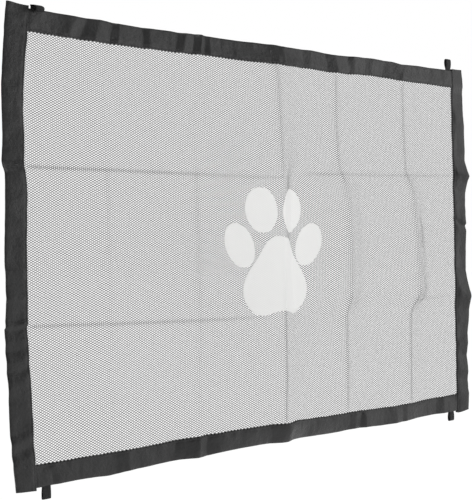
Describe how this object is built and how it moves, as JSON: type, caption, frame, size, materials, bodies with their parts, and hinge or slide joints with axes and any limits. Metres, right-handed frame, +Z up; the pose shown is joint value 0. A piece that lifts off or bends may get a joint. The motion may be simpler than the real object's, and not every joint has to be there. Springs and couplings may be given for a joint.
{
  "type": "fabric mesh pet gate",
  "caption": "Rectangular see-through mesh barrier with cloth-bound edges, corner hanging loops and a plain paw mark, creased into folding columns.",
  "frame": {"origin": "centre of the gate, in the mid-plane of the net", "axes": "+X along the width to the right seen from the front, +Y away from the front face, +Z up"},
  "size_m": [1.1, 0.0238, 0.76],
  "materials": {
    "net": "see-through woven net, dark grey",
    "binding_cloth": "black plain-weave cloth, slight sheen",
    "webbing": "black ribbed webbing",
    "thread": "black sewing thread",
    "paw_film": "matt white film pressed on the net"
  },
  "bodies": {
    "column_1": {"mesh_panel_1": "net", "top_binding_1": "binding_cloth", "bottom_binding_1": "binding_cloth", "top_seam_1": "thread", "bottom_seam_1": "thread", "left_binding": "binding_cloth", "left_seam": "thread", "top_left_loop_tail": "webbing", "bottom_left_loop_tail": "webbing"},
    "column_2": {"mesh_panel_2": "net", "top_binding_2": "binding_cloth", "bottom_binding_2": "binding_cloth", "top_seam_2": "thread", "bottom_seam_2": "thread"},
    "column_3": {"mesh_panel_3": "net", "top_binding_3": "binding_cloth", "bottom_binding_3": "binding_cloth", "top_seam_3": "thread", "bottom_seam_3": "thread", "left_outer_toe": "paw_film", "left_inner_toe": "paw_film", "left_main_pad": "paw_film"},
    "column_4": {"mesh_panel_4": "net", "top_binding_4": "binding_cloth", "bottom_binding_4": "binding_cloth", "top_seam_4": "thread", "bottom_seam_4": "thread", "right_outer_toe": "paw_film", "right_inner_toe": "paw_film", "right_main_pad": "paw_film"},
    "column_5": {"mesh_panel_5": "net", "top_binding_5": "binding_cloth", "bottom_binding_5": "binding_cloth", "top_seam_5": "thread", "bottom_seam_5": "thread"},
    "column_6": {"mesh_panel_6": "net", "top_binding_6": "binding_cloth", "bottom_binding_6": "binding_cloth", "top_seam_6": "thread", "bottom_seam_6": "thread", "right_binding": "binding_cloth", "right_seam": "thread", "top_right_loop_tail": "webbing", "bottom_right_loop_tail": "webbing"},
    "top_left_loop": {"top_left_loop": "webbing"},
    "top_right_loop": {"top_right_loop": "webbing"},
    "bottom_left_loop": {"bottom_left_loop": "webbing"},
    "bottom_right_loop": {"bottom_right_loop": "webbing"}
  },
  "joints": [
    {"name": "fold_1", "type": "hinge", "parent": "column_1", "child": "column_2", "pos_m": [-0.36667, 0.008, 0], "axis": [0, 0, 1], "range_deg": [0, 170]},
    {"name": "fold_2", "type": "hinge", "parent": "column_2", "child": "column_3", "pos_m": [-0.18333, -0.008, 0], "axis": [0, 0, 1], "range_deg": [-170, 0]},
    {"name": "fold_3", "type": "hinge", "parent": "column_3", "child": "column_4", "pos_m": [0, 0.008, 0], "axis": [0, 0, 1], "range_deg": [0, 170]},
    {"name": "fold_4", "type": "hinge", "parent": "column_4", "child": "column_5", "pos_m": [0.18333, -0.008, 0], "axis": [0, 0, 1], "range_deg": [-170, 0]},
    {"name": "fold_5", "type": "hinge", "parent": "column_5", "child": "column_6", "pos_m": [0.36667, 0.008, 0], "axis": [0, 0, 1], "range_deg": [0, 170]},
    {"name": "top_left_loop_flex", "type": "hinge", "parent": "column_1", "child": "top_left_loop", "pos_m": [-0.5, 0, 0.36], "axis": [1, 0, 0], "range_deg": [-190, 0], "stiffness_Nm_per_rad": 0.004},
    {"name": "top_right_loop_flex", "type": "hinge", "parent": "column_6", "child": "top_right_loop", "pos_m": [0.5, 0, 0.36], "axis": [1, 0, 0], "range_deg": [-85, 85], "stiffness_Nm_per_rad": 0.004},
    {"name": "bottom_left_loop_flex", "type": "hinge", "parent": "column_1", "child": "bottom_left_loop", "pos_m": [-0.5, 0, -0.36], "axis": [1, 0, 0], "range_deg": [-85, 85], "stiffness_Nm_per_rad": 0.004},
    {"name": "bottom_right_loop_flex", "type": "hinge", "parent": "column_6", "child": "bottom_right_loop", "pos_m": [0.5, 0, -0.36], "axis": [1, 0, 0], "range_deg": [-85, 85], "stiffness_Nm_per_rad": 0.004}
  ],
  "couplings": [
    {"joint": "fold_2", "follows": "fold_1", "ratio": -1},
    {"joint": "fold_3", "follows": "fold_1", "ratio": 1},
    {"joint": "fold_4", "follows": "fold_1", "ratio": -1},
    {"joint": "fold_5", "follows": "fold_1", "ratio": 1}
  ]
}
